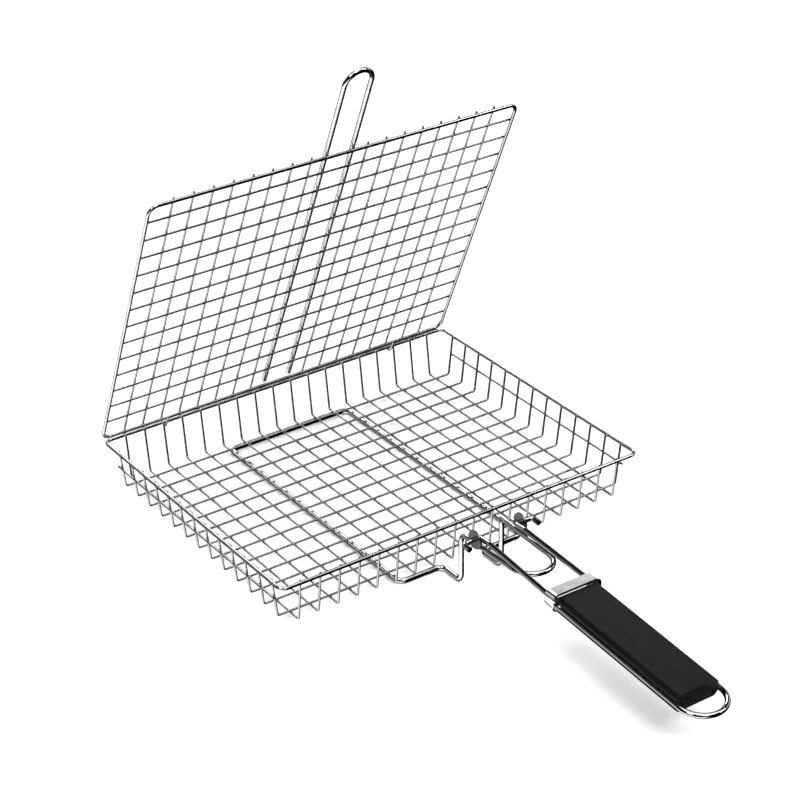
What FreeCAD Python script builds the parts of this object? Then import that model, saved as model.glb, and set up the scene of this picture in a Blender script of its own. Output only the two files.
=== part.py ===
"""Grill basket: wire tray on a heavy-wire bracket, hinged wire lid, folding handle and sliding lock collar.

Frame: millimetres, +Z up, handle pointing to -Y, origin under the middle of the tray on the surface
it stands on. The lid stands open and the handle is unfolded.
"""
import FreeCAD, Part
import math
import os

import Sketcher
from FreeCAD import Placement, Rotation, Vector

DOC = FreeCAD.newDocument("grill_basket")
SHEET = DOC.addObject("Spreadsheet::Sheet", "Sizes")

# name, value (mm or degrees), what it drives
DIMENSIONS = [
    ("thin_dia", 2.0, "mesh wire of tray and lid"),
    ("rim_dia", 3.2, "rim wire of tray and lid"),
    ("heavy_dia", 4.5, "bracket, lid loop and handle wire"),
    ("tray_width", 354.0, "across the rim's centre line, X"),
    ("tray_depth", 281.0, "across the rim's centre line, Y"),
    ("rim_corner", 6.5, "corner radius of the tray's rim"),
    ("lid_corner", 8.0, "corner radius of the lid's rim"),
    ("rim_height", 43.7, "tray rim's centre above the resting plane"),
    ("tip_above", 0.3, "upright tips above the rim's centre"),
    ("wall_lean", 7.0, "outward lean of the walls, degrees"),
    ("floor_bend", 2.2, "bend radius between floor and wall"),
    ("long_count", 18, "wires that run front to back"),
    ("long_pitch", 18.55, "their spacing in the tray"),
    ("cross_count", 13, "wires that run side to side"),
    ("cross_pitch", 20.16, "their spacing in tray and lid"),
    ("cross_shift", -1.0, "middle cross wire of the tray, Y"),
    ("side_level", 26.8, "side wire above the resting plane"),
    ("side_over", 3.0, "side wire past the end uprights"),
    ("runner_half", 61.0, "bracket runners from the middle plane"),
    ("runner_rear", 128.0, "rear cross bar of the bracket, Y"),
    ("arm_front", 133.0, "bracket arms in front of the middle"),
    ("post_half", 20.0, "bracket posts from the middle plane"),
    ("post_front", 160.0, "bracket posts in front of the middle"),
    ("loop_half", 17.7, "end of the bracket loop from the middle plane"),
    ("loop_level", 46.8, "bracket loop above the resting plane"),
    ("loop_front", 242.0, "end of the bracket loop in front of the middle"),
    ("bracket_bend", 6.5, "bends of the bracket"),
    ("lid_open", 66.3, "lid angle from closed, degrees"),
    ("lid_gap", 0.3, "between the two rims when closed"),
    ("lid_pitch", 18.15, "spacing of the lid's long wires"),
    ("lid_first", 21.5, "rear rim to the first cross wire of the lid"),
    ("lid_tip", 1.6, "long wires past the lid's front rim"),
    ("hook_tip", 9.5, "straight tip of each hinge hook"),
    ("hook_radius", 4.5, "curl of each hinge hook"),
    ("lid_leg_half", 12.8, "lid loop legs from the middle plane"),
    ("lid_reach", 367.7, "hinge axis to the end of the lid loop"),
    ("axle_front", 181.5, "handle axle in front of the middle"),
    ("axle_level", 53.1, "handle axle above the resting plane"),
    ("handle_drop", 4.0, "slope of the handle, degrees below level"),
    ("pin_half", 34.0, "outer end of the hinge pins"),
    ("pin_return", 9.0, "bent-over end of each hinge pin"),
    ("handle_bend", 3.0, "bends of the handle wire"),
    ("rail_axle_half", 17.5, "rails at the axle, from the middle plane"),
    ("rail_head_half", 19.0, "rails at the collar, from the middle plane"),
    ("rail_run", 12.0, "axle to the place where the rails reach their height"),
    ("rail_rise", 1.5, "rails above the axle"),
    ("side_half", 19.8, "wire beside the grip, from the middle plane"),
    ("side_drop", 1.1, "wire beside the grip, below the axle"),
    ("tail_turn", 243.5, "axle to the middle of the hanging loop's bend"),
    ("disc_face", 21.5, "inner face of the hinge discs"),
    ("disc_thick", 1.6, "hinge disc"),
    ("disc_dia", 16.0, "hinge disc"),
    ("pin_clearance", 0.05, "radial, pin in disc"),
    ("grip_start", 102.0, "axle to the head of the grip"),
    ("grip_end", 240.0, "axle to the tail of the grip"),
    ("grip_width", 40.2, "grip section"),
    ("grip_thick", 15.4, "grip section"),
    ("grip_chamfer", 2.7, "grip's long edges"),
    ("collar_start", 88.4, "axle to the mouth of the collar"),
    ("collar_length", 12.6, "mouth to rear lip"),
    ("collar_wall", 0.8, "sheet metal"),
    ("collar_half", 22.3, "half width at the mouth, outside"),
    ("collar_flare", 0.6, "half width gained towards the rear"),
    ("mouth_top", 6.3, "mouth above the axle, outside"),
    ("mouth_bottom", 6.7, "mouth below the axle, outside"),
    ("rear_top", 7.9, "rear above the axle, outside"),
    ("rear_bottom", 6.9, "rear below the axle, outside"),
    ("collar_corner", 4.5, "corner radius, outside"),
    ("lip_thick", 1.2, "rear lip of the collar"),
    ("lip_out", 0.5, "rear lip past the sleeve"),
]
for line, (alias, value, note) in enumerate(DIMENSIONS, start=1):
    SHEET.set("A%d" % line, alias)
    SHEET.set("B%d" % line, repr(value))
    SHEET.set("C%d" % line, note)
    SHEET.setAlias("B%d" % line, alias)
DOC.recompute()

HOOK_WIRES = (3, 16)
LOOP_WIRES = (9, 10)
NODES = []


def size(alias):
    """One driving dimension, as a number."""
    return float(SHEET.get(alias))


def bound(text):
    """An expression over the sheet: every alias in text is read from the sheet's cell."""
    words = []
    for word in text.split():
        words.append("Sizes." + word if any(word == row[0] for row in DIMENSIONS) else word)
    return " ".join(words)


def node(thing, label):
    """Keeps one finished sub-part under the name of its file."""
    thing.Label = label
    NODES.append(thing)
    return thing


# --- where the three assemblies sit ---------------------------------------------------------------

def place_lid(thing):
    """Lid pieces are drawn closed, about the hinge axis, and swing open with the sheet's angle."""
    thing.Placement = Placement(Vector(0, 0, 0), Rotation(Vector(1, 0, 0), -size("lid_open")))
    thing.setExpression("Placement.Base.y", bound("tray_depth / 2"))
    thing.setExpression("Placement.Base.z", bound("rim_height"))
    thing.setExpression("Placement.Rotation.Angle", bound("- lid_open"))


def place_handle(thing):
    """Handle pieces are drawn level, about the axle, and slope down with the sheet's angle."""
    thing.Placement = Placement(Vector(0, 0, 0), Rotation(Vector(1, 0, 0), size("handle_drop")))
    thing.setExpression("Placement.Base.y", bound("- axle_front"))
    thing.setExpression("Placement.Base.z", bound("axle_level"))
    thing.setExpression("Placement.Rotation.Angle", bound("handle_drop"))


# --- sketches -------------------------------------------------------------------------------------

def new_sketch(body, name, plane, offset=None):
    """A sketch on one of the body's own planes, moved along the plane's normal by an expression."""
    sketch = body.newObject("Sketcher::SketchObject", name)
    origin = [o for o in body.Origin.OriginFeatures if o.Role == plane + "_Plane"][0]
    sketch.AttachmentSupport = [(origin, "")]
    sketch.MapMode = "FlatFace"
    if offset:
        sketch.setExpression("AttachmentOffset.Base.z", bound(offset))
    return sketch


def drive(sketch, constraint, name, text):
    """Adds a dimension to a sketch and binds it to the sheet."""
    index = sketch.addConstraint(constraint)
    sketch.renameConstraint(index, name)
    sketch.setExpression("Constraints." + name, bound(text))


def fix_x(sketch, geometry, point, name, text, value):
    """Distance of a point from the sketch's vertical axis; the value's sign tells the side."""
    ends = (-1, 1, geometry, point) if value > 0 else (geometry, point, -1, 1)
    drive(sketch, Sketcher.Constraint("DistanceX", *ends, abs(value)), name, text)


def fix_y(sketch, geometry, point, name, text, value):
    """Distance of a point from the sketch's horizontal axis; the value's sign tells the side."""
    ends = (-1, 1, geometry, point) if value > 0 else (geometry, point, -1, 1)
    drive(sketch, Sketcher.Constraint("DistanceY", *ends, abs(value)), name, text)


def arc_between(centre, radius, start, end):
    """Arc from start to end, in degrees, counter-clockwise."""
    circle = Part.Circle(centre, Vector(0, 0, 1), radius)
    return Part.ArcOfCircle(circle, math.radians(start), math.radians(end))


def rounded_rectangle(sketch, left, right, bottom, top, radius):
    """Closed outline. Each argument is (value, expression) and distances are counted from the origin."""
    x0, x1, y0, y1, r = left[0], right[0], bottom[0], top[0], radius[0]
    corners = [(x1 - r, y0 + r, 270), (x1 - r, y1 - r, 0), (x0 + r, y1 - r, 90), (x0 + r, y0 + r, 180)]
    runs = [((x0 + r, y0), (x1 - r, y0)), ((x1, y0 + r), (x1, y1 - r)),
            ((x1 - r, y1), (x0 + r, y1)), ((x0, y1 - r), (x0, y0 + r))]
    for (start, end), (cx, cy, angle) in zip(runs, corners):
        sketch.addGeometry(Part.LineSegment(Vector(*start, 0), Vector(*end, 0)), False)
        sketch.addGeometry(arc_between(Vector(cx, cy, 0), r, angle, angle + 90), False)
    for side in range(4):
        run, corner, following = 2 * side, 2 * side + 1, (2 * side + 2) % 8
        sketch.addConstraint(Sketcher.Constraint("Tangent", run, 2, corner, 1))
        sketch.addConstraint(Sketcher.Constraint("Tangent", corner, 2, following, 1))
        if side:
            sketch.addConstraint(Sketcher.Constraint("Equal", 1, corner))
    sketch.addConstraint(Sketcher.Constraint("Horizontal", 0))
    sketch.addConstraint(Sketcher.Constraint("Vertical", 2))
    sketch.addConstraint(Sketcher.Constraint("Horizontal", 4))
    sketch.addConstraint(Sketcher.Constraint("Vertical", 6))
    drive(sketch, Sketcher.Constraint("Radius", 1, r), "corner", radius[1])
    fix_y(sketch, 0, 1, "bottom", bottom[1], y0)
    fix_x(sketch, 2, 1, "right", right[1], x1)
    fix_y(sketch, 4, 1, "top", top[1], y1)
    fix_x(sketch, 6, 1, "left", left[1], x0)


def tray_profile(sketch, half, half_text, level, level_text):
    """Open path of one tray wire: leaning upright, bend, floor, bend, leaning upright."""
    lean, bend, top = size("wall_lean"), size("floor_bend"), size("rim_height") + size("tip_above")
    angle = math.radians(lean)
    centre_y = level + bend
    centre_x = half - (top - centre_y) * math.tan(angle) - bend / math.cos(angle)
    foot = Vector(centre_x + bend * math.cos(angle), centre_y - bend * math.sin(angle), 0)
    mirrored = Vector(-foot.x, foot.y, 0)
    sketch.addGeometry(Part.LineSegment(Vector(-half, top, 0), mirrored), False)
    sketch.addGeometry(arc_between(Vector(-centre_x, centre_y, 0), bend, 180 + lean, 270), False)
    sketch.addGeometry(Part.LineSegment(Vector(-centre_x, level, 0), Vector(centre_x, level, 0)), False)
    sketch.addGeometry(arc_between(Vector(centre_x, centre_y, 0), bend, 270, 360 - lean), False)
    sketch.addGeometry(Part.LineSegment(foot, Vector(half, top, 0)), False)
    for joint in ((0, 2, 1, 1), (1, 2, 2, 1), (2, 2, 3, 1), (3, 2, 4, 1)):
        sketch.addConstraint(Sketcher.Constraint("Tangent", *joint))
    sketch.addConstraint(Sketcher.Constraint("Symmetric", 2, 1, 2, 2, -2))
    sketch.addConstraint(Sketcher.Constraint("Symmetric", 0, 1, 4, 2, -2))
    sketch.addConstraint(Sketcher.Constraint("Equal", 1, 3))
    drive(sketch, Sketcher.Constraint("Radius", 1, bend), "bend", "floor_bend")
    drive(sketch, Sketcher.Constraint("Angle", 4, math.radians(90 - lean)), "lean", "90 - wall_lean")
    fix_x(sketch, 4, 2, "half", half_text, half)
    fix_y(sketch, 4, 2, "tip", "rim_height + tip_above", top)
    fix_y(sketch, 2, 1, "level", level_text, level)


def loop_path(sketch, half, half_text, start, start_text, reach, reach_text):
    """Open path in the sketch's lower half: leg, half circle, leg."""
    turn = -(reach - half)
    sketch.addGeometry(Part.LineSegment(Vector(-half, -start, 0), Vector(-half, turn, 0)), False)
    sketch.addGeometry(arc_between(Vector(0, turn, 0), half, 180, 360), False)
    sketch.addGeometry(Part.LineSegment(Vector(half, turn, 0), Vector(half, -start, 0)), False)
    sketch.addConstraint(Sketcher.Constraint("Tangent", 0, 2, 1, 1))
    sketch.addConstraint(Sketcher.Constraint("Tangent", 1, 2, 2, 1))
    sketch.addConstraint(Sketcher.Constraint("Vertical", 0))
    sketch.addConstraint(Sketcher.Constraint("Symmetric", 0, 1, 2, 2, -2))
    sketch.addConstraint(Sketcher.Constraint("PointOnObject", 1, 3, -2))
    drive(sketch, Sketcher.Constraint("Radius", 1, half), "half", half_text)
    fix_y(sketch, 0, 1, "start", start_text, -start)
    fix_y(sketch, 1, 3, "turn", reach_text, turn)


def wire_along(body, path, diameter):
    """Round wire swept along a path sketch of the same body."""
    section = body.newObject("Sketcher::SketchObject", path.Name + "_section")
    section.AttachmentSupport = [(path, "Edge1")]
    section.MapMode = "NormalToEdge"
    section.MapPathParameter = 0.0
    section.addGeometry(Part.Circle(Vector(0, 0, 0), Vector(0, 0, 1), size(diameter) / 2), False)
    section.addConstraint(Sketcher.Constraint("Coincident", 0, 3, -1, 1))
    drive(section, Sketcher.Constraint("Diameter", 0, size(diameter)), "wire", diameter)
    DOC.recompute()
    pipe = body.newObject("PartDesign::AdditivePipe", path.Name + "_wire")
    pipe.Profile = section
    pipe.Spine = (path, ["Edge%d" % (i + 1) for i in range(len(path.Shape.Edges))])
    return pipe


def straight_wire(name, diameter, length_text):
    """Straight round wire, along its own Z."""
    wire = DOC.addObject("Part::Cylinder", name)
    wire.setExpression("Radius", bound(diameter + " / 2"))
    wire.setExpression("Height", bound(length_text))
    return wire


# --- tray -----------------------------------------------------------------------------------------

def make_tray_rim():
    half_x, half_y = size("tray_width") / 2, size("tray_depth") / 2
    body = DOC.addObject("PartDesign::Body", "tray_rim")
    path = new_sketch(body, "tray_rim_path", "XY", "rim_height")
    rounded_rectangle(path, (-half_x, "tray_width / 2"), (half_x, "tray_width / 2"),
                      (-half_y, "tray_depth / 2"), (half_y, "tray_depth / 2"),
                      (size("rim_corner"), "rim_corner"))
    wire_along(body, path, "rim_dia")
    node(body, "tray_rim")


def make_tray_long_wires():
    """Wires front to back: the lower layer of the floor, welded inside the rim at both ends."""
    half_text = "tray_depth / 2 - rim_dia / 2 - thin_dia / 2"
    level_text = "heavy_dia + thin_dia / 2"
    half = size("tray_depth") / 2 - size("rim_dia") / 2 - size("thin_dia") / 2
    level = size("heavy_dia") + size("thin_dia") / 2
    for number in range(1, int(size("long_count")) + 1):
        name = "tray_long_wire_%02d" % number
        body = DOC.addObject("PartDesign::Body", name)
        path = new_sketch(body, name + "_path", "YZ")
        tray_profile(path, half, half_text, level, level_text)
        wire_along(body, path, "thin_dia")
        body.setExpression("Placement.Base.x", bound("( %d - ( long_count + 1 ) / 2 ) * long_pitch" % number))
        node(body, name)


def make_tray_cross_wires():
    """Wires side to side: the upper layer of the floor, welded inside the rim at both ends."""
    half_text = "tray_width / 2 - rim_dia / 2 - thin_dia / 2"
    level_text = "heavy_dia + 3 * thin_dia / 2"
    half = size("tray_width") / 2 - size("rim_dia") / 2 - size("thin_dia") / 2
    level = size("heavy_dia") + 1.5 * size("thin_dia")
    for number in range(1, int(size("cross_count")) + 1):
        name = "tray_cross_wire_%02d" % number
        body = DOC.addObject("PartDesign::Body", name)
        path = new_sketch(body, name + "_path", "XZ")
        tray_profile(path, half, half_text, level, level_text)
        wire_along(body, path, "thin_dia")
        place = "cross_shift + ( %d - ( cross_count + 1 ) / 2 ) * cross_pitch" % number
        body.setExpression("Placement.Base.y", bound(place))
        node(body, name)


def make_side_wires():
    """One straight wire outside the uprights of each side wall, half way up."""
    run = "( cross_count - 1 ) * cross_pitch + 2 * side_over"
    reach = ("tray_width / 2 - rim_dia / 2 + thin_dia / 2"
             " - ( rim_height + tip_above - side_level ) * tan( wall_lean * 1 deg )")
    for side, sign in (("left", "- 1"), ("right", "1")):
        wire = straight_wire("tray_side_wire_" + side, "thin_dia", run)
        wire.Placement = Placement(Vector(0, 0, 0), Rotation(Vector(1, 0, 0), 90))
        wire.setExpression("Placement.Base.x", bound(sign + " * ( " + reach + " )"))
        wire.setExpression("Placement.Base.y", bound("cross_shift + ( " + run + " ) / 2"))
        wire.setExpression("Placement.Base.z", bound("side_level"))
        node(wire, "tray_side_wire_" + side)


def bent_path(points, radius):
    """Edges along corner points in space, with an arc of the given radius at each corner."""
    edges = []
    start = points[0]
    for before, corner, after in zip(points, points[1:], points[2:]):
        inward, outward = (before - corner).normalize(), (after - corner).normalize()
        half_angle = inward.getAngle(outward) / 2
        trim = radius / math.tan(half_angle)
        rise = radius / math.sin(half_angle) - radius
        first, last = corner + inward * trim, corner + outward * trim
        edges.append(Part.LineSegment(start, first).toShape())
        edges.append(Part.Arc(first, corner + (inward + outward).normalize() * rise, last).toShape())
        start = last
    edges.append(Part.LineSegment(start, points[-1]).toShape())
    return edges


def mirrored_wire(corners, radius):
    """Heavy wire, the same on both sides: half of it follows the corners and ends in a quarter circle.

    Such a wire leaves any one plane, so the half is swept along a wire in space and mirrored.
    """
    last = corners[-1]
    reach, slant = last.x, last.x * math.sqrt(0.5)
    middle = Vector(last.x - slant, last.y + slant, last.z)
    turn = Part.Arc(last, Vector(slant, middle.y, last.z), Vector(0, last.y + reach, last.z))
    spine = Part.Wire(bent_path(corners, radius) + [turn.toShape()])
    circle = Part.makeCircle(size("heavy_dia") / 2, corners[0], corners[1] - corners[0])
    half = spine.makePipe(Part.Face(Part.Wire([circle])))
    return half.fuse(half.mirror(Vector(0, 0, 0), Vector(1, 0, 0))).removeSplitter()


def make_tray_bracket():
    """One heavy wire: ring under the floor, two arms, two posts and the loop under the handle."""
    base, runner, post = size("heavy_dia") / 2, -size("runner_half"), -size("post_half")
    rear, arm, front = size("runner_rear"), -size("arm_front"), -size("post_front")
    level, loop, turn = size("loop_level"), -size("loop_half"), size("loop_half") - size("loop_front")
    corners = [Vector(0, rear, base), Vector(runner, rear, base), Vector(runner, arm, base),
               Vector(post, arm, base), Vector(post, front, base), Vector(post, front, level),
               Vector(loop, turn + 5, level), Vector(loop, turn, level)]
    bracket = DOC.addObject("Part::Feature", "tray_bracket")
    bracket.Shape = mirrored_wire(corners, size("bracket_bend"))
    bracket.Placement = Placement(Vector(0, 0, 0), Rotation())
    node(bracket, "tray_bracket")


def make_hinge_discs():
    """Round plates welded to the outside of the bracket loop; the handle's pins turn in them."""
    for side, sign in (("left", -1), ("right", 1)):
        name = "hinge_disc_" + side
        body = DOC.addObject("PartDesign::Body", name)
        outline = new_sketch(body, name + "_outline", "YZ", "disc_face" if sign > 0 else "- disc_face")
        outline.addGeometry(Part.Circle(Vector(0, 0, 0), Vector(0, 0, 1), size("disc_dia") / 2), False)
        hole = size("heavy_dia") / 2 + size("pin_clearance")
        outline.addGeometry(Part.Circle(Vector(0, 0, 0), Vector(0, 0, 1), hole), False)
        outline.addConstraint(Sketcher.Constraint("Coincident", 0, 3, -1, 1))
        outline.addConstraint(Sketcher.Constraint("Coincident", 1, 3, -1, 1))
        drive(outline, Sketcher.Constraint("Diameter", 0, size("disc_dia")), "disc", "disc_dia")
        drive(outline, Sketcher.Constraint("Radius", 1, hole), "hole", "heavy_dia / 2 + pin_clearance")
        pad = body.newObject("PartDesign::Pad", name + "_plate")
        pad.Profile = outline
        pad.setExpression("Length", bound("disc_thick"))
        pad.Reversed = sign < 0
        body.setExpression("Placement.Base.y", bound("- axle_front"))
        body.setExpression("Placement.Base.z", bound("axle_level"))
        node(body, name)


# --- lid ------------------------------------------------------------------------------------------
# Heights above the hinge axis when closed: the rim lies on the tray's rim, long wires and loop legs
# lie on the lid rim, cross wires hang under the long wires.

LID_RIM = "rim_dia + lid_gap"
LID_LONG = "3 * rim_dia / 2 + lid_gap + thin_dia / 2"
LID_CROSS = "3 * rim_dia / 2 + lid_gap - thin_dia / 2"
LID_LEGS = "3 * rim_dia / 2 + lid_gap + heavy_dia / 2"
OPEN = "( lid_open * 1 deg )"


def make_lid_rim():
    half_x, depth = size("tray_width") / 2, size("tray_depth")
    body = DOC.addObject("PartDesign::Body", "lid_rim")
    path = new_sketch(body, "lid_rim_path", "XY", LID_RIM)
    path.setExpression("AttachmentOffset.Base.y", bound("- tray_depth / 2"))
    rounded_rectangle(path, (-half_x, "tray_width / 2"), (half_x, "tray_width / 2"),
                      (-depth / 2, "tray_depth / 2"), (depth / 2, "tray_depth / 2"),
                      (size("lid_corner"), "lid_corner"))
    wire_along(body, path, "rim_dia")
    place_lid(body)
    node(body, "lid_rim")


def lid_point(along, above):
    """Y and Z, as expressions, of a lid point given from the hinge axis in the lid's own plane."""
    back = "tray_depth / 2 - ( %s ) * cos%s + ( %s ) * sin%s" % (along, OPEN, above, OPEN)
    up = "rim_height + ( %s ) * sin%s + ( %s ) * cos%s" % (along, OPEN, above, OPEN)
    return back, up


def make_lid_long_wires():
    """Plain wires hinge edge to front edge, as separate solids of one node."""
    wires = []
    back, up = lid_point("- rim_dia / 2 + 0.6", LID_LONG)
    for number in range(1, int(size("long_count")) + 1):
        if number in HOOK_WIRES + LOOP_WIRES:
            continue
        wire = straight_wire("lid_long_%02d" % number, "thin_dia", "tray_depth + lid_tip + rim_dia / 2 - 0.6")
        wire.Placement = Placement(Vector(0, 0, 0), Rotation(Vector(1, 0, 0), 90 - size("lid_open")))
        wire.setExpression("Placement.Base.x", bound("( %d - ( long_count + 1 ) / 2 ) * lid_pitch" % number))
        wire.setExpression("Placement.Base.y", bound(back))
        wire.setExpression("Placement.Base.z", bound(up))
        wire.setExpression("Placement.Rotation.Angle", bound("90 - lid_open"))
        wires.append(wire)
    group = DOC.addObject("Part::Compound", "lid_long_wires")
    group.Links = wires
    node(group, "lid_long_wires")


def make_lid_cross_wires():
    """Wires side to side, butted between the rim's two sides, under the long wires."""
    reach = "( tray_width / 2 - rim_dia / 2 )"
    for number in range(1, int(size("cross_count")) + 1):
        name = "lid_cross_wire_%02d" % number
        wire = straight_wire(name, "thin_dia", "2 * " + reach)
        wire.Placement = Placement(Vector(0, 0, 0), Rotation(Vector(0, 1, 0), 90))
        back, up = lid_point("lid_first + %d * cross_pitch" % (number - 1), LID_CROSS)
        wire.setExpression("Placement.Base.x", bound("- " + reach))
        wire.setExpression("Placement.Base.y", bound(back))
        wire.setExpression("Placement.Base.z", bound(up))
        node(wire, name)


def make_hinge_hooks():
    """The third wire from each side runs on past the hinge edge and curls round the tray's rim."""
    above = 1.5 * size("rim_dia") + size("lid_gap") + size("thin_dia") / 2
    curl, front = size("hook_radius"), -(size("tray_depth") + size("lid_tip"))
    for side, number in zip(("left", "right"), HOOK_WIRES):
        name = "lid_hinge_wire_" + side
        body = DOC.addObject("PartDesign::Body", name)
        path = new_sketch(body, name + "_path", "YZ")
        path.addGeometry(Part.LineSegment(Vector(front, above, 0), Vector(0, above, 0)), False)
        path.addGeometry(arc_between(Vector(0, above - curl, 0), curl, -90, 90), False)
        tip = Vector(-size("hook_tip"), above - 2 * curl, 0)
        path.addGeometry(Part.LineSegment(Vector(0, above - 2 * curl, 0), tip), False)
        path.addConstraint(Sketcher.Constraint("Tangent", 0, 2, 1, 2))
        path.addConstraint(Sketcher.Constraint("Tangent", 1, 1, 2, 1))
        path.addConstraint(Sketcher.Constraint("Horizontal", 0))
        path.addConstraint(Sketcher.Constraint("Horizontal", 2))
        path.addConstraint(Sketcher.Constraint("PointOnObject", 1, 3, -2))
        drive(path, Sketcher.Constraint("Radius", 1, curl), "curl", "hook_radius")
        fix_y(path, 0, 1, "above", LID_LONG, above)
        fix_x(path, 0, 1, "front", "tray_depth + lid_tip", front)
        fix_x(path, 2, 2, "tip", "hook_tip", tip.x)
        wire_along(body, path, "thin_dia")
        place_lid(body)
        body.setExpression("Placement.Base.x", bound("( %d - ( long_count + 1 ) / 2 ) * lid_pitch" % number))
        node(body, name)


def make_lid_loop():
    """Heavy wire in place of the two middle wires, reaching past the front edge as a long loop."""
    body = DOC.addObject("PartDesign::Body", "lid_loop")
    path = new_sketch(body, "lid_loop_path", "XY", LID_LEGS)
    loop_path(path, size("lid_leg_half"), "lid_leg_half", size("rim_dia") / 2, "rim_dia / 2",
              size("lid_reach"), "lid_reach - lid_leg_half")
    wire_along(body, path, "heavy_dia")
    place_lid(body)
    node(body, "lid_loop")


# --- handle ---------------------------------------------------------------------------------------

def make_handle_frame():
    """One heavy wire: bent-over end, hinge pin, rail, side of the grip, hanging loop, and back."""
    pin, tail, run, rise = -size("pin_half"), -size("pin_return"), -size("rail_run"), size("rail_rise")
    axle_half, head_half, side = -size("rail_axle_half"), -size("rail_head_half"), -size("side_half")
    head, grip, drop = -size("collar_start"), -size("grip_start"), -size("side_drop")
    corners = [Vector(pin, tail, 0), Vector(pin, 0, 0), Vector(axle_half, 0, 0),
               Vector(axle_half, run, rise), Vector(head_half, head, rise),
               Vector(side, grip, drop), Vector(side, -size("tail_turn"), drop)]
    frame = DOC.addObject("Part::Feature", "handle_frame")
    frame.Shape = mirrored_wire(corners, size("handle_bend"))
    place_handle(frame)
    node(frame, "handle_frame")


def make_grip():
    """Wooden bar with chamfered edges; the wire lies in a round groove along each side."""
    half, thick, drop = size("grip_width") / 2, size("grip_thick"), size("side_drop")
    top, bottom = thick / 2 - drop, -thick / 2 - drop
    body = DOC.addObject("PartDesign::Body", "grip")
    outline = new_sketch(body, "grip_outline", "XZ", "grip_start")
    corners = [(-half, bottom), (half, bottom), (half, top), (-half, top)]
    for (x0, y0), (x1, y1) in zip(corners, corners[1:] + corners[:1]):
        outline.addGeometry(Part.LineSegment(Vector(x0, y0, 0), Vector(x1, y1, 0)), False)
    for side in range(4):
        outline.addConstraint(Sketcher.Constraint("Coincident", side, 2, (side + 1) % 4, 1))
        outline.addConstraint(Sketcher.Constraint("Vertical" if side % 2 else "Horizontal", side))
    fix_x(outline, 0, 1, "left", "grip_width / 2", -half)
    fix_x(outline, 0, 2, "right", "grip_width / 2", half)
    fix_y(outline, 0, 1, "bottom", "grip_thick / 2 + side_drop", bottom)
    fix_y(outline, 2, 1, "top", "grip_thick / 2 - side_drop", top)
    bar = body.newObject("PartDesign::Pad", "grip_bar")
    bar.Profile = outline
    bar.setExpression("Length", bound("grip_end - grip_start"))
    DOC.recompute()
    long_edges = []
    for index, edge in enumerate(bar.Shape.Edges, start=1):
        if abs(edge.BoundBox.YLength - edge.Length) < 1e-6:
            long_edges.append("Edge%d" % index)
    chamfer = body.newObject("PartDesign::Chamfer", "grip_edges")
    chamfer.Base = (bar, long_edges)
    chamfer.setExpression("Size", bound("grip_chamfer"))
    DOC.recompute()
    grooves = new_sketch(body, "grip_grooves", "XZ", "grip_start")
    for index, sign in enumerate((-1, 1)):
        centre, wire = Vector(sign * size("side_half"), -drop, 0), size("heavy_dia")
        grooves.addGeometry(Part.Circle(centre, Vector(0, 0, 1), wire / 2), False)
        fix_x(grooves, index, 3, "side%d" % index, "side_half", centre.x)
        fix_y(grooves, index, 3, "level%d" % index, "side_drop", centre.y)
        drive(grooves, Sketcher.Constraint("Diameter", index, wire), "wire%d" % index, "heavy_dia")
    groove = body.newObject("PartDesign::Pocket", "grip_side_grooves")
    groove.Profile = grooves
    groove.Type = "Length"
    groove.setExpression("Length", bound("grip_end - grip_start"))
    groove.Reversed = True
    place_handle(body)
    node(body, "grip")
    DOC.recompute()
    if groove.Shape.Volume >= chamfer.Shape.Volume:
        raise RuntimeError("the grip's side grooves cut nothing")


def collar_section(body, name, place, half, top, bottom, corner):
    """Rounded outline across the handle at a distance from the axle; (value, expression) pairs."""
    sketch = new_sketch(body, name, "XZ", place)
    rounded_rectangle(sketch, (-half[0], half[1]), half, (-bottom[0], bottom[1]), top, corner)
    return sketch


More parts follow.
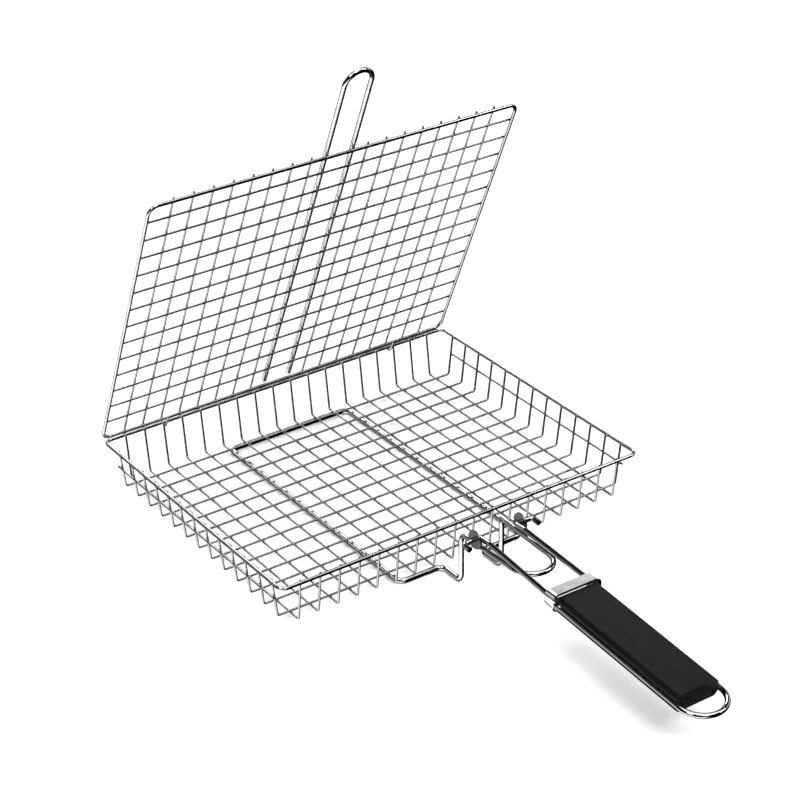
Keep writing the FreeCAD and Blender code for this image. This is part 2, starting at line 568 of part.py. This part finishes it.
def make_lock_collar():
    """Flared sheet-metal sleeve round both rails, with a lip at the rear. It slides over the two loops."""
    half, flare, wall = size("collar_half"), size("collar_flare"), size("collar_wall")
    corner = (size("collar_corner"), "collar_corner")
    inner_corner = (size("collar_corner") - wall, "collar_corner - collar_wall")
    front, rear = "collar_start", "collar_start + collar_length"
    body = DOC.addObject("PartDesign::Body", "lock_collar")
    outside = [
        collar_section(body, "mouth_outside", front, (half, "collar_half"),
                       (size("mouth_top"), "mouth_top"), (size("mouth_bottom"), "mouth_bottom"), corner),
        collar_section(body, "rear_outside", rear, (half + flare, "collar_half + collar_flare"),
                       (size("rear_top"), "rear_top"), (size("rear_bottom"), "rear_bottom"), corner)]
    sleeve = body.newObject("PartDesign::AdditiveLoft", "collar_sleeve")
    sleeve.Profile = outside[0]
    sleeve.Sections = [outside[1]]
    sleeve.Ruled = True
    DOC.recompute()
    lip_half = (half + flare + size("lip_out"), "collar_half + collar_flare + lip_out")
    lip = collar_section(body, "lip_outline", rear + " - lip_thick", lip_half,
                         (size("rear_top") + size("lip_out"), "rear_top + lip_out"),
                         (size("rear_bottom") + size("lip_out"), "rear_bottom + lip_out"),
                         (size("collar_corner") + size("lip_out"), "collar_corner + lip_out"))
    rim = body.newObject("PartDesign::Pad", "collar_lip")
    rim.Profile = lip
    rim.setExpression("Length", bound("lip_thick"))
    DOC.recompute()
    inside = [
        collar_section(body, "mouth_inside", front, (half - wall, "collar_half - collar_wall"),
                       (size("mouth_top") - wall, "mouth_top - collar_wall"),
                       (size("mouth_bottom") - wall, "mouth_bottom - collar_wall"), inner_corner),
        collar_section(body, "rear_inside", rear,
                       (half + flare - wall, "collar_half + collar_flare - collar_wall"),
                       (size("rear_top") - wall, "rear_top - collar_wall"),
                       (size("rear_bottom") - wall, "rear_bottom - collar_wall"), inner_corner)]
    hollow = body.newObject("PartDesign::SubtractiveLoft", "collar_hollow")
    hollow.Profile = inside[0]
    hollow.Sections = [inside[1]]
    hollow.Ruled = True
    place_handle(body)
    node(body, "lock_collar")


def check_and_write():
    """Stops on any failed object, then writes one STEP file per node."""
    DOC.recompute()
    for thing in DOC.Objects:
        if "Invalid" in thing.State or "Error" in thing.State:
            raise RuntimeError("%s failed: %s" % (thing.Name, thing.State))
    os.makedirs("parts", exist_ok=True)
    for thing in NODES:
        if thing.Shape.isNull() or not thing.Shape.isValid():
            raise RuntimeError("%s has no valid shape" % thing.Label)
        thing.Shape.exportStep("parts/%s.step" % thing.Label)
        box = thing.Shape.BoundBox
        reach = (box.XMin, box.XMax, box.YMin, box.YMax, box.ZMin, box.ZMax)
        print("%-20s x %7.1f %7.1f  y %7.1f %7.1f  z %7.1f %7.1f" % ((thing.Label,) + reach))
    print(len(NODES), "nodes")


make_tray_rim()
make_tray_long_wires()
make_tray_cross_wires()
make_side_wires()
make_tray_bracket()
make_hinge_discs()
make_lid_rim()
make_lid_long_wires()
make_lid_cross_wires()
make_hinge_hooks()
make_lid_loop()
make_handle_frame()
make_grip()
make_lock_collar()
check_and_write()
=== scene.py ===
import math

import bmesh
import bpy
from mathutils import Matrix, Vector


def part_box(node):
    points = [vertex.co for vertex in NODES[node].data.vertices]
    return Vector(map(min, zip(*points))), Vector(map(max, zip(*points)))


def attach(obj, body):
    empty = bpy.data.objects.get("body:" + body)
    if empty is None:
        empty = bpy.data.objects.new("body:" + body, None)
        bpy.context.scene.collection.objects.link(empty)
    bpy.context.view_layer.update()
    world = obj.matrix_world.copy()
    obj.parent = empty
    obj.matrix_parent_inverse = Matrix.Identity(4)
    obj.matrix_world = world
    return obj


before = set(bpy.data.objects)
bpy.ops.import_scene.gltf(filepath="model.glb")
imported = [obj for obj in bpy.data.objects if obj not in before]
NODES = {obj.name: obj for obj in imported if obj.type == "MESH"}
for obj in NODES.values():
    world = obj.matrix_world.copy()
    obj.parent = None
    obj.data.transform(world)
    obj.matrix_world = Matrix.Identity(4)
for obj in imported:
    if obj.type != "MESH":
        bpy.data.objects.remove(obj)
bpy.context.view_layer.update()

# Wires in the tray and the lid. In the lid, the loop's legs take the places of two of the long wires.
LONG_COUNT, CROSS_COUNT = 18, 13
LOOP_PLACES = (8, 9)


# --- places read from the frame -------------------------------------------------------------------

def middle(node):
    """Centre of a node's box."""
    low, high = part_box(node)
    return (Vector(low) + Vector(high)) / 2


def extent(node):
    """Size of a node's box."""
    low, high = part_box(node)
    return Vector(high) - Vector(low)


THIN = extent("tray_long_wire_01").x / 2    # radius of the mesh wire
RIM = extent("tray_rim").z / 2              # radius of the rim wire


# --- materials ------------------------------------------------------------------------------------

# Painted shade: a dark tint on the plating's reflections at grazing angles, so its edges go dark; it
# stands in for dark surroundings reflected there
PAINTED_DARK_EDGE_TINT = (0.15, 0.15, 0.16, 1.0)

# Stops of the wood's colours, as the position in the noise and the colour there
SIDE_GRAIN = ((0.32, (0.0010, 0.0009, 0.0009)), (0.72, (0.0045, 0.0041, 0.0039)))
END_GRAIN = ((0.42, (0.0015, 0.0014, 0.0013)), (0.66, (0.026, 0.024, 0.023)))
ALONG_GRIP = (1.0, 0.045, 1.0)    # streaks about twenty times as long as wide
ACROSS_ENDS = (1.0, 1.0, 5.5)     # layers on the end faces, flatter than wide

# Sockets of a Mix node that mixes colours
MIX_FIRST, MIX_SECOND, MIX_RESULT = 6, 7, 2


class Graph:
    """A new material with short calls for its nodes."""

    def __init__(self, name):
        self.material = bpy.data.materials.new(name)
        self.material.use_nodes = True
        self.tree = self.material.node_tree
        self.shader = self.tree.nodes["Principled BSDF"]

    def add(self, kind, **values):
        """Adds a node. values are its inputs by name, or else its properties."""
        made = self.tree.nodes.new("ShaderNode" + kind)
        for name, value in values.items():
            if name in made.inputs:
                made.inputs[name].default_value = value
            else:
                setattr(made, name, value)
        return made

    def link(self, source, output, target, socket):
        self.tree.links.new(source.outputs[output], target.inputs[socket])

    def coordinates(self, stretch=(1.0, 1.0, 1.0)):
        """Places on the object in metres, times stretch along each axis."""
        place = self.add("TexCoord")
        mapping = self.add("Mapping", Scale=stretch)
        self.link(place, "Object", mapping, "Vector")
        return mapping

    def noise(self, mapping, scale, detail=2.0, roughness=0.5):
        made = self.add("TexNoise", Scale=scale, Detail=detail, Roughness=roughness)
        self.link(mapping, "Vector", made, "Vector")
        return made

    def ramp(self, source, output, stops, target, socket):
        """Links an output to a socket through two stops, each a position and a colour."""
        made = self.add("ValToRGB")
        for element, (position, colour) in zip(made.color_ramp.elements, stops):
            element.position = position
            element.color = (*colour, 1.0)
        self.link(source, output, made, "Fac")
        self.link(made, "Color", target, socket)

    def bump(self, source, output, strength, distance, under=None):
        """Relief from an output, distance metres high, on top of the relief under it."""
        made = self.add("Bump", Strength=strength, Distance=distance)
        self.link(source, output, made, "Height")
        if under:
            self.link(under, "Normal", made, "Normal")
        return made


def grey(level):
    return (level, level, level)


def plated_steel(name, tone, polish, drawn):
    """Bright plated wire or sheet: slightly uneven tone, cloudy polish and fine marks from the die.
    polish is the roughness where it shines most, and drawn is the strength of the marks."""
    graph = Graph(name)
    graph.shader.inputs["Metallic"].default_value = 1.0
    # Painted shade: the plating's reflections at its edges are tinted dark
    graph.shader.inputs["Specular Tint"].default_value = PAINTED_DARK_EDGE_TINT
    place = graph.coordinates()
    clouds = graph.noise(place, scale=60.0, detail=3.0)
    tones = ((0.35, grey(tone * 0.82)), (0.65, (tone, tone, tone * 1.012)))
    graph.ramp(clouds, "Fac", tones, graph.shader, "Base Color")
    haze = graph.noise(place, scale=420.0, detail=4.0, roughness=0.6)
    dulling = ((0.3, grey(polish)), (0.75, grey(polish + 0.09)))
    graph.ramp(haze, "Fac", dulling, graph.shader, "Roughness")
    marks = graph.noise(place, scale=2600.0)
    relief = graph.bump(marks, "Fac", strength=drawn, distance=0.00006)
    swell = graph.bump(clouds, "Fac", strength=drawn * 0.6, distance=0.0006, under=relief)
    graph.link(swell, "Normal", graph.shader, "Normal")
    return graph.material


def black_wood(name, grain_along):
    """Black stained wood under a satin coat: long pores and streaks along the grain, and paler end
    grain. grain_along is the stretch of the pattern, and the grain runs along Y."""
    graph = Graph(name)
    graph.shader.inputs["Specular IOR Level"].default_value = 0.12

    mix = graph.add("Mix", data_type="RGBA")
    streaks = graph.noise(graph.coordinates(grain_along), scale=240.0, detail=6.0, roughness=0.62)
    graph.ramp(streaks, "Fac", SIDE_GRAIN, mix, MIX_FIRST)
    rings = graph.noise(graph.coordinates(ACROSS_ENDS), scale=150.0, detail=5.0, roughness=0.7)
    graph.ramp(rings, "Fac", END_GRAIN, mix, MIX_SECOND)

    place = graph.add("TexCoord")
    facing = graph.add("SeparateXYZ")
    graph.link(place, "Normal", facing, "Vector")
    ends = graph.add("Math", operation="ABSOLUTE")
    graph.link(facing, "Y", ends, 0)
    sharp = graph.add("MapRange", **{"From Min": 0.80, "From Max": 0.97})
    graph.link(ends, "Value", sharp, "Value")
    graph.link(sharp, "Result", mix, "Factor")
    graph.link(mix, MIX_RESULT, graph.shader, "Base Color")

    sheen = graph.noise(graph.coordinates(grain_along), scale=90.0, detail=3.0)
    graph.ramp(sheen, "Fac", ((0.25, grey(0.36)), (0.8, grey(0.54))), graph.shader, "Roughness")

    pores = graph.add("TexVoronoi", Scale=700.0, Randomness=1.0)
    graph.link(graph.coordinates(grain_along), "Vector", pores, "Vector")
    cut = graph.add("MapRange", **{"From Min": 0.0, "From Max": 0.35})
    graph.link(pores, "Distance", cut, "Value")
    pits = graph.bump(cut, "Result", strength=0.35, distance=0.00025)
    grain = graph.bump(streaks, "Fac", strength=0.45, distance=0.0004, under=pits)
    graph.link(grain, "Normal", graph.shader, "Normal")
    return graph.material


def studio_floor(name):
    """Matt white, faintly uneven."""
    graph = Graph(name)
    graph.shader.inputs["Roughness"].default_value = 0.85
    graph.shader.inputs["Specular IOR Level"].default_value = 0.1
    tooth = graph.noise(graph.coordinates(), scale=3.0)
    graph.ramp(tooth, "Fac", ((0.3, grey(0.90)), (0.7, grey(0.92))), graph.shader, "Base Color")
    return graph.material


def backdrop_white(name):
    """White that glows as a lit wall does, faintly uneven."""
    graph = Graph(name)
    graph.shader.inputs["Emission Strength"].default_value = 1.0
    tooth = graph.noise(graph.coordinates(), scale=3.0)
    graph.ramp(tooth, "Fac", ((0.3, grey(0.98)), (0.7, grey(1.0))), graph.shader, "Emission Color")
    return graph.material


MESH_WIRE = plated_steel("drawn_mesh_wire", tone=0.34, polish=0.07, drawn=0.05)
RIM_WIRE = plated_steel("drawn_rim_wire", tone=0.40, polish=0.06, drawn=0.05)
HEAVY_WIRE = plated_steel("drawn_heavy_wire", tone=0.46, polish=0.05, drawn=0.06)
SHEET_METAL = plated_steel("polished_sheet", tone=0.82, polish=0.10, drawn=0.08)
DISC_METAL = plated_steel("stamped_disc", tone=0.15, polish=0.20, drawn=0.10)
GRIP_WOOD = black_wood("black_wood", ALONG_GRIP)

# CAD nodes that aren't mesh wire
FINISHES = {
    "tray_rim": RIM_WIRE,
    "lid_rim": RIM_WIRE,
    "tray_bracket": HEAVY_WIRE,
    "lid_loop": HEAVY_WIRE,
    "handle_frame": HEAVY_WIRE,
    "lock_collar": SHEET_METAL,
    "hinge_disc_left": DISC_METAL,
    "hinge_disc_right": DISC_METAL,
    "grip": GRIP_WOOD,
}

for node, piece in NODES.items():
    piece.data.materials.clear()
    piece.data.materials.append(FINISHES.get(node, MESH_WIRE))


# --- spot welds -----------------------------------------------------------------------------------

# Half width and half height of a bead: wires crossing, and wire ends on the rim
CROSSING_BEAD = (1.25 * THIN, 0.75 * THIN)
RIM_BEAD = (1.3 * THIN, 0.8 * THIN)


def bead_template():
    """Corners and faces of one round bead of unit radius."""
    mesh = bmesh.new()
    bmesh.ops.create_uvsphere(mesh, u_segments=12, v_segments=8, radius=1.0)
    corners = [corner.co.copy() for corner in mesh.verts]
    faces = [[corner.index for corner in face.verts] for face in mesh.faces]
    mesh.free()
    return corners, faces


def beads(name, body, places):
    """One object of small beads. places holds each bead's centre, its normal and its size: half its
    width across the normal and half its height along it, in metres."""
    template, template_faces = bead_template()
    corners, faces = [], []
    for centre, normal, (wide, flat) in places:
        turn = Vector((0, 0, 1)).rotation_difference(normal).to_matrix()
        shape = turn @ Matrix.Diagonal((wide, wide, flat))
        start = len(corners)
        corners.extend(shape @ corner + centre for corner in template)
        faces.extend([start + index for index in face] for face in template_faces)
    data = bpy.data.meshes.new(name)
    data.from_pydata(corners, [], faces)
    data.shade_smooth()
    data.materials.append(MESH_WIRE)
    piece = bpy.data.objects.new(name, data)
    bpy.context.scene.collection.objects.link(piece)
    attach(piece, body)


def tray_welds():
    """Beads where the floor's wires cross, where wire ends meet the rim, and along the side wires."""
    up, right, back = Vector((0, 0, 1)), Vector((1, 0, 0)), Vector((0, 1, 0))
    xs = [middle("tray_long_wire_%02d" % (i + 1)).x for i in range(LONG_COUNT)]
    ys = [middle("tray_cross_wire_%02d" % (i + 1)).y for i in range(CROSS_COUNT)]
    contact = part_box("tray_long_wire_01")[0][2] + 2 * THIN
    places = [(Vector((x, y, contact)), up, CROSSING_BEAD) for x in xs for y in ys]
    rim = middle("tray_rim")
    rim_half = extent("tray_rim") / 2
    for side, side_wire in ((-1, "tray_side_wire_left"), (1, "tray_side_wire_right")):
        for x in xs:
            spot = Vector((x, side * (rim_half.y - 2 * RIM), rim.z))
            places.append((spot, back, RIM_BEAD))
        wire = middle(side_wire)
        for y in ys:
            spot = Vector((side * (rim_half.x - 2 * RIM), y, rim.z))
            places.append((spot, right, RIM_BEAD))
            spot = Vector((wire.x - side * THIN, y, wire.z))
            places.append((spot, right, CROSSING_BEAD))
    return places


def lid_welds():
    """Beads where the lid's wires cross. The lid leans, so they follow its first and last cross wire."""
    first, last = middle("lid_cross_wire_01"), middle("lid_cross_wire_%02d" % CROSS_COUNT)
    along = (last - first).normalized()
    above = Vector((1, 0, 0)).cross(along)
    if above.y < 0:
        above = -above
    low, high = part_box("lid_long_wires")
    pitch = (high[0] - low[0] - 2 * THIN) / (LONG_COUNT - 1)
    xs = [low[0] + THIN + i * pitch for i in range(LONG_COUNT)]
    places = []
    for number in range(CROSS_COUNT):
        row = first + (last - first) * number / (CROSS_COUNT - 1) + above * THIN
        for index, x in enumerate(xs):
            if index not in LOOP_PLACES:
                places.append((row + Vector((x, 0, 0)), above, CROSSING_BEAD))
    return places


beads("tray_spot_welds", "tray", tray_welds())
beads("lid_spot_welds", "lid", lid_welds())


# --- grip -----------------------------------------------------------------------------------------

GRIP_EASE = 0.0006    # metres, as sanding and staining leave the edges

bevel = NODES["grip"].modifiers.new("eased_edges", "BEVEL")
bevel.width = GRIP_EASE
bevel.segments = 3
bevel.limit_method = "ANGLE"
bevel.angle_limit = math.radians(30)


# --- studio ---------------------------------------------------------------------------------------

# Camera, fitted to the photo: its direction from the target, and its lens for a 36 mm sensor
AZIMUTH, ELEVATION, ROLL = math.radians(-34.489), math.radians(29.116), math.radians(-0.760)
TARGET, DISTANCE, LENS, SENSOR = Vector((0.10581, 0.10665, 0.0070)), 2.1705, 107.56, 36.0
FAR_CLIP = 100.0

# Half the floor's side, and the backdrop's radius, foot and top, all in metres
FLOOR_REACH = 12.0
WALL_REACH, WALL_FOOT, WALL_TOP, WALL_SIDES = 11.5, -0.01, 5.0, 48

# Name, width in degrees, strength, tilt from overhead, direction that it comes from
SUNS = (
    ("overhead", 70, 2.6, 8, 0),
    ("left", 20, 1.4, 48, 285),
    ("right", 20, 1.1, 50, 60),
    ("front", 16, 0.9, 40, 350),
    ("rear", 20, 1.1, 55, 160),
)

# What polished wire sees: a white table in front and to the left, and a white cove at the back. Each
# has a shade for each height, from straight down (0) over the horizon (0.5) to overhead (1), the
# direction in which it lies, and how far a direction has to agree with that one before it fades in.
TABLE = ((0.0, 3.0), (0.27, 2.6), (0.31, 0.0))
TABLE_AZIMUTH = AZIMUTH - math.radians(45)
TABLE_SIDE = (math.sin(TABLE_AZIMUTH), -math.cos(TABLE_AZIMUTH), 0.0)
TABLE_FADE = (0.15, 0.45)
COVE = ((0.47, 0.0), (0.51, 1.0), (0.73, 1.1), (0.77, 0.0))
COVE_SIDE = (-math.sin(AZIMUTH), math.cos(AZIMUTH), 0.0)
COVE_FADE = (-0.1, 0.5)


def staged(name, corners, faces, material):
    """A surface round the object. It isn't seen in reflections, which come from the world."""
    data = bpy.data.meshes.new(name)
    data.from_pydata(corners, [], faces)
    data.materials.append(material)
    surface = bpy.data.objects.new(name, data)
    bpy.context.scene.collection.objects.link(surface)
    surface.visible_glossy = False
    return surface


def make_floor():
    corners = [(x * FLOOR_REACH, y * FLOOR_REACH, 0) for x, y in ((-1, -1), (1, -1), (1, 1), (-1, 1))]
    staged("floor", corners, [(0, 1, 2, 3)], studio_floor("floor_white"))


def make_backdrop():
    """White wall far behind the object on every side, for low views. It lights nothing."""
    turns = [2 * math.pi * i / WALL_SIDES for i in range(WALL_SIDES)]
    corners = [(WALL_REACH * math.cos(turn), WALL_REACH * math.sin(turn), z)
               for z in (WALL_FOOT, WALL_TOP) for turn in turns]
    pairs = [(i, (i + 1) % WALL_SIDES) for i in range(WALL_SIDES)]
    faces = [(this, that, WALL_SIDES + that, WALL_SIDES + this) for this, that in pairs]
    wall = staged("backdrop", corners, faces, backdrop_white("backdrop_white"))
    wall.visible_diffuse = False
    wall.visible_shadow = False


def surroundings(tree, place, height, stops, side, limits):
    """One lit part of the studio: a shade for each height, on the given side only. The shade's blue
    is a trace stronger, as daylight lamps are."""
    band = tree.nodes.new("ShaderNodeValToRGB")
    elements = band.color_ramp.elements
    for index, (level, shade) in enumerate(stops):
        element = elements[index] if index < 2 else elements.new(level)
        element.position = level
        element.color = (shade, shade, shade * 1.01, 1.0)
    tree.links.new(height.outputs["Result"], band.inputs["Fac"])
    facing = tree.nodes.new("ShaderNodeVectorMath")
    facing.operation = "DOT_PRODUCT"
    facing.inputs[1].default_value = side
    tree.links.new(place.outputs["Generated"], facing.inputs[0])
    fade = tree.nodes.new("ShaderNodeMapRange")
    fade.inputs["From Min"].default_value, fade.inputs["From Max"].default_value = limits
    tree.links.new(facing.outputs["Value"], fade.inputs["Value"])
    part = tree.nodes.new("ShaderNodeVectorMath")
    part.operation = "MULTIPLY"
    tree.links.new(band.outputs["Color"], part.inputs[0])
    tree.links.new(fade.outputs["Result"], part.inputs[1])
    return part


def make_world():
    """Dark studio with the white table and the white cove."""
    world = bpy.data.worlds.new("studio")
    bpy.context.scene.world = world
    world.use_nodes = True
    tree = world.node_tree
    place = tree.nodes.new("ShaderNodeTexCoord")
    parts = tree.nodes.new("ShaderNodeSeparateXYZ")
    height = tree.nodes.new("ShaderNodeMapRange")
    height.inputs["From Min"].default_value = -1.0
    tree.links.new(place.outputs["Generated"], parts.inputs["Vector"])
    tree.links.new(parts.outputs["Z"], height.inputs["Value"])
    table = surroundings(tree, place, height, TABLE, TABLE_SIDE, TABLE_FADE)
    cove = surroundings(tree, place, height, COVE, COVE_SIDE, COVE_FADE)
    both = tree.nodes.new("ShaderNodeVectorMath")
    tree.links.new(table.outputs["Vector"], both.inputs[0])
    tree.links.new(cove.outputs["Vector"], both.inputs[1])
    tree.links.new(both.outputs["Vector"], tree.nodes["Background"].inputs["Color"])


def make_lights():
    """Broad soft lamps."""
    for name, width, strength, tilt, turn in SUNS:
        lamp = bpy.data.lights.new(name, "SUN")
        lamp.energy = strength
        lamp.angle = math.radians(width)
        light = bpy.data.objects.new(name, lamp)
        light.rotation_euler = (math.radians(tilt), 0, math.radians(turn))
        bpy.context.scene.collection.objects.link(light)


def make_camera():
    """Camera at the photo's viewing angle, looking at the target."""
    level_back = math.cos(ELEVATION)
    back = Vector((math.sin(AZIMUTH) * level_back, -math.cos(AZIMUTH) * level_back,
                   math.sin(ELEVATION)))
    right = Vector((math.cos(AZIMUTH), math.sin(AZIMUTH), 0))
    up = back.cross(right)
    level = Matrix((right, up, back)).transposed()
    lens = bpy.data.cameras.new("camera")
    lens.lens = LENS
    lens.sensor_width = SENSOR
    lens.clip_end = FAR_CLIP
    camera = bpy.data.objects.new("camera", lens)
    turned = level @ Matrix.Rotation(ROLL, 3, "Z")
    camera.matrix_world = Matrix.Translation(TARGET + back * DISTANCE) @ turned.to_4x4()
    bpy.context.scene.collection.objects.link(camera)
    bpy.context.scene.camera = camera


make_floor()
make_backdrop()
make_world()
make_lights()
make_camera()
bpy.context.scene.view_settings.view_transform = "Standard"
